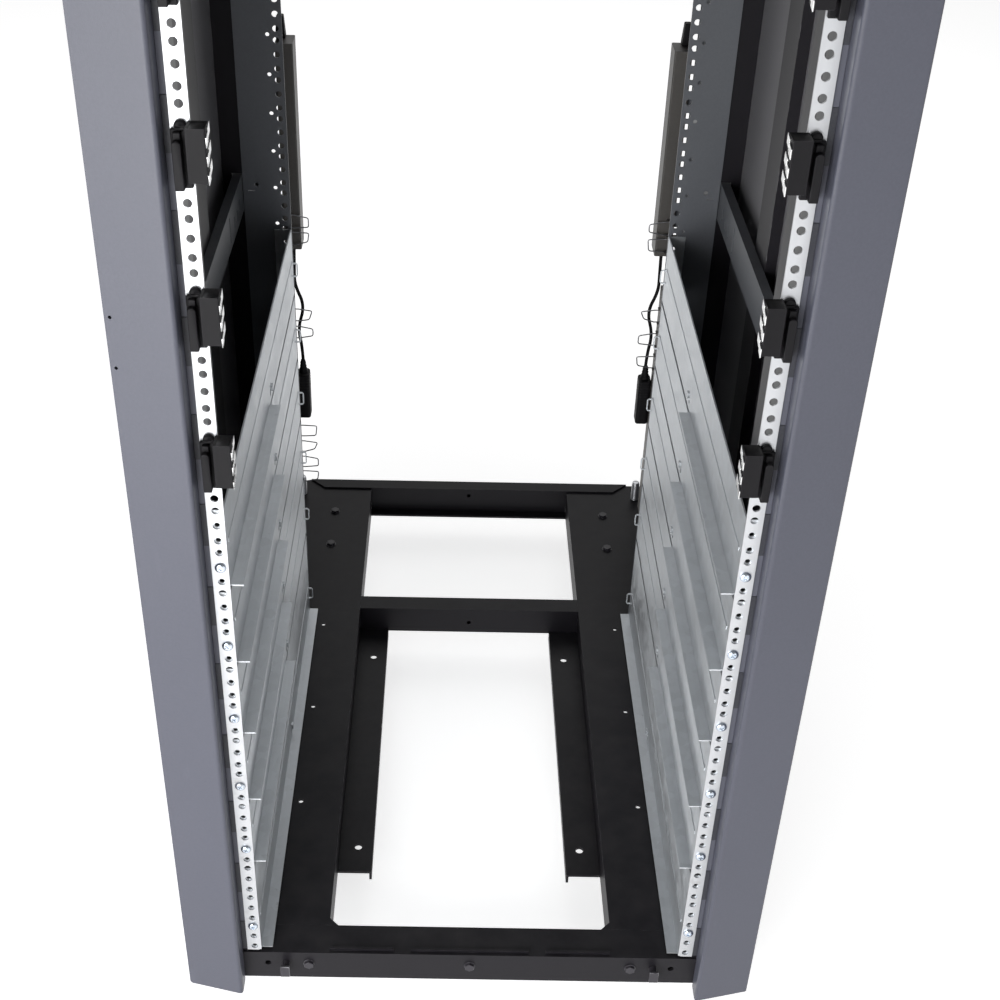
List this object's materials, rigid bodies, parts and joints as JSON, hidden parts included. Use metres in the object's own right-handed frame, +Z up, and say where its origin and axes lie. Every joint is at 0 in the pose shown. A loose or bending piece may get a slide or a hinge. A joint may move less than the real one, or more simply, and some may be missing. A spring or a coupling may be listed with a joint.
{
  "type": "server rack cabinet",
  "caption": "Open-front 19-inch server rack cabinet on casters, with holed mounting rails, ledge rails, filler-panel clips and rear power strips.",
  "frame": {"origin": "middle of the footprint on the floor, under the casters", "axes": "+Z up, +X to the right seen from the front, +Y from the front to the rear"},
  "size_m": [0.611, 0.9639, 1.908],
  "materials": {
    "bolt_black": "black oxide",
    "caster_zinc": "zinc plate",
    "clip_black": "matte moulded",
    "cover_paint": "satin powder coat with fine grain",
    "foot_zinc": "zinc plate",
    "frame_black": "satin black powder coat",
    "galvanised": "galvanised, dull silver",
    "lead_black": "matte",
    "marker_strip": "matte, alternating light and dark",
    "panel_grey": "satin paint",
    "plug_black": "matte moulded",
    "post_grey": "satin paint",
    "rear_rail_grey": "satin paint",
    "roof_paint": "satin powder coat",
    "screw_zinc": "bright zinc, bluish",
    "spring_steel": "bright",
    "strip_body": "satin, dark brown grey",
    "wheel_nylon": "black nylon",
    "wire_steel": "drawn wire",
    "zinc_rail": "bright zinc plate"
  },
  "bodies": {
    "frame": {"base_fasteners": "bolt_black", "base_floor_brackets": "frame_black", "base_front_beam": "frame_black", "base_mid_beam": "frame_black", "base_rear_beam": "frame_black", "base_side_left": "frame_black", "base_side_right": "frame_black", "caster_bolts": "bolt_black", "caster_mounts": "caster_zinc", "clip_springs": "spring_steel", "front_cover_left": "cover_paint", "front_cover_right": "cover_paint", "front_post_left": "frame_black", "front_post_right": "frame_black", "front_rail_left": "zinc_rail", "front_rail_right": "zinc_rail", "panel_clips": "clip_black", "power_leads": "lead_black", "power_plugs": "plug_black", "power_strips_left": "strip_body", "power_strips_right": "strip_body", "rail_screws": "screw_zinc", "rear_posts": "post_grey", "rear_rail_left": "rear_rail_grey", "rear_rail_right": "rear_rail_grey", "roof_panel": "roof_paint", "side_braces": "post_grey", "side_panel_left": "panel_grey", "side_panel_right": "panel_grey", "side_stiffeners": "frame_black", "strip_brackets": "post_grey", "support_rails_left": "galvanised", "support_rails_right": "galvanised", "top_frame": "post_grey", "unit_strips": "marker_strip"},
    "swivel_front_left": {"caster_swivel_front_left": "caster_zinc"},
    "wheel_front_left": {"caster_wheel_front_left": "wheel_nylon"},
    "foot_front_left": {"level_foot_front_left": "foot_zinc"},
    "swivel_rear_left": {"caster_swivel_rear_left": "caster_zinc"},
    "wheel_rear_left": {"caster_wheel_rear_left": "wheel_nylon"},
    "foot_rear_left": {"level_foot_rear_left": "foot_zinc"},
    "swivel_front_right": {"caster_swivel_front_right": "caster_zinc"},
    "wheel_front_right": {"caster_wheel_front_right": "wheel_nylon"},
    "foot_front_right": {"level_foot_front_right": "foot_zinc"},
    "swivel_rear_right": {"caster_swivel_rear_right": "caster_zinc"},
    "wheel_rear_right": {"caster_wheel_rear_right": "wheel_nylon"},
    "foot_rear_right": {"level_foot_rear_right": "foot_zinc"},
    "bail_left_1_body": {"bail_left_1": "wire_steel"},
    "bail_left_2_body": {"bail_left_2": "wire_steel"},
    "bail_left_3_body": {"bail_left_3": "wire_steel"},
    "bail_left_4_body": {"bail_left_4": "wire_steel"},
    "bail_left_5_body": {"bail_left_5": "wire_steel"},
    "bail_left_6_body": {"bail_left_6": "wire_steel"},
    "bail_left_7_body": {"bail_left_7": "wire_steel"},
    "bail_left_8_body": {"bail_left_8": "wire_steel"},
    "bail_right_1_body": {"bail_right_1": "wire_steel"},
    "bail_right_2_body": {"bail_right_2": "wire_steel"},
    "bail_right_3_body": {"bail_right_3": "wire_steel"},
    "bail_right_4_body": {"bail_right_4": "wire_steel"},
    "bail_right_5_body": {"bail_right_5": "wire_steel"}
  },
  "joints": [
    {"name": "caster_swivel_front_left", "type": "hinge", "parent": "frame", "child": "swivel_front_left", "pos_m": [-0.243, -0.329, 0.065], "axis": [0, 0, 1], "continuous": true},
    {"name": "caster_roll_front_left", "type": "hinge", "parent": "swivel_front_left", "child": "wheel_front_left", "pos_m": [-0.243, -0.309, 0.028], "axis": [1, 0, 0], "continuous": true},
    {"name": "foot_height_front_left", "type": "slide", "parent": "frame", "child": "foot_front_left", "axis": [0, 0, 1], "range_m": [-0.015, 0.01]},
    {"name": "caster_swivel_rear_left", "type": "hinge", "parent": "frame", "child": "swivel_rear_left", "pos_m": [-0.243, 0.353, 0.065], "axis": [0, 0, 1], "continuous": true},
    {"name": "caster_roll_rear_left", "type": "hinge", "parent": "swivel_rear_left", "child": "wheel_rear_left", "pos_m": [-0.243, 0.373, 0.028], "axis": [1, 0, 0], "continuous": true},
    {"name": "foot_height_rear_left", "type": "slide", "parent": "frame", "child": "foot_rear_left", "axis": [0, 0, 1], "range_m": [-0.015, 0.01]},
    {"name": "caster_swivel_front_right", "type": "hinge", "parent": "frame", "child": "swivel_front_right", "pos_m": [0.243, -0.329, 0.065], "axis": [0, 0, 1], "continuous": true},
    {"name": "caster_roll_front_right", "type": "hinge", "parent": "swivel_front_right", "child": "wheel_front_right", "pos_m": [0.243, -0.309, 0.028], "axis": [1, 0, 0], "continuous": true},
    {"name": "foot_height_front_right", "type": "slide", "parent": "frame", "child": "foot_front_right", "axis": [0, 0, 1], "range_m": [-0.015, 0.01]},
    {"name": "caster_swivel_rear_right", "type": "hinge", "parent": "frame", "child": "swivel_rear_right", "pos_m": [0.243, 0.353, 0.065], "axis": [0, 0, 1], "continuous": true},
    {"name": "caster_roll_rear_right", "type": "hinge", "parent": "swivel_rear_right", "child": "wheel_rear_right", "pos_m": [0.243, 0.373, 0.028], "axis": [1, 0, 0], "continuous": true},
    {"name": "foot_height_rear_right", "type": "slide", "parent": "frame", "child": "foot_rear_right", "axis": [0, 0, 1], "range_m": [-0.015, 0.01]},
    {"name": "bail_swing_left_1", "type": "hinge", "parent": "frame", "child": "bail_left_1_body", "pos_m": [-0.241, 0.243, 0.2465], "axis": [0, 0, 1], "range_deg": [-70, 70]},
    {"name": "bail_swing_left_2", "type": "hinge", "parent": "frame", "child": "bail_left_2_body", "pos_m": [-0.241, 0.243, 0.2705], "axis": [0, 0, 1], "range_deg": [-70, 70]},
    {"name": "bail_swing_left_3", "type": "hinge", "parent": "frame", "child": "bail_left_3_body", "pos_m": [-0.241, 0.243, 0.2955], "axis": [0, 0, 1], "range_deg": [-70, 70]},
    {"name": "bail_swing_left_4", "type": "hinge", "parent": "frame", "child": "bail_left_4_body", "pos_m": [-0.241, 0.243, 0.3205], "axis": [0, 0, 1], "range_deg": [-70, 70]},
    {"name": "bail_swing_left_5", "type": "hinge", "parent": "frame", "child": "bail_left_5_body", "pos_m": [-0.241, 0.243, 0.4715], "axis": [0, 0, 1], "range_deg": [-70, 70]},
    {"name": "bail_swing_left_6", "type": "hinge", "parent": "frame", "child": "bail_left_6_body", "pos_m": [-0.241, 0.243, 0.4965], "axis": [0, 0, 1], "range_deg": [-70, 70]},
    {"name": "bail_swing_left_7", "type": "hinge", "parent": "frame", "child": "bail_left_7_body", "pos_m": [-0.241, 0.243, 0.6035], "axis": [0, 0, 1], "range_deg": [-75, 8]},
    {"name": "bail_swing_left_8", "type": "hinge", "parent": "frame", "child": "bail_left_8_body", "pos_m": [-0.241, 0.243, 0.6265], "axis": [0, 0, 1], "range_deg": [-75, 8]},
    {"name": "bail_swing_right_1", "type": "hinge", "parent": "frame", "child": "bail_right_1_body", "pos_m": [0.241, 0.243, 0.4365], "axis": [0, 0, 1], "range_deg": [-70, 70]},
    {"name": "bail_swing_right_2", "type": "hinge", "parent": "frame", "child": "bail_right_2_body", "pos_m": [0.241, 0.243, 0.4705], "axis": [0, 0, 1], "range_deg": [-70, 70]},
    {"name": "bail_swing_right_3", "type": "hinge", "parent": "frame", "child": "bail_right_3_body", "pos_m": [0.241, 0.243, 0.5045], "axis": [0, 0, 1], "range_deg": [-70, 70]},
    {"name": "bail_swing_right_4", "type": "hinge", "parent": "frame", "child": "bail_right_4_body", "pos_m": [0.241, 0.243, 0.6035], "axis": [0, 0, 1], "range_deg": [-8, 75]},
    {"name": "bail_swing_right_5", "type": "hinge", "parent": "frame", "child": "bail_right_5_body", "pos_m": [0.241, 0.243, 0.6265], "axis": [0, 0, 1], "range_deg": [-8, 75]}
  ]
}
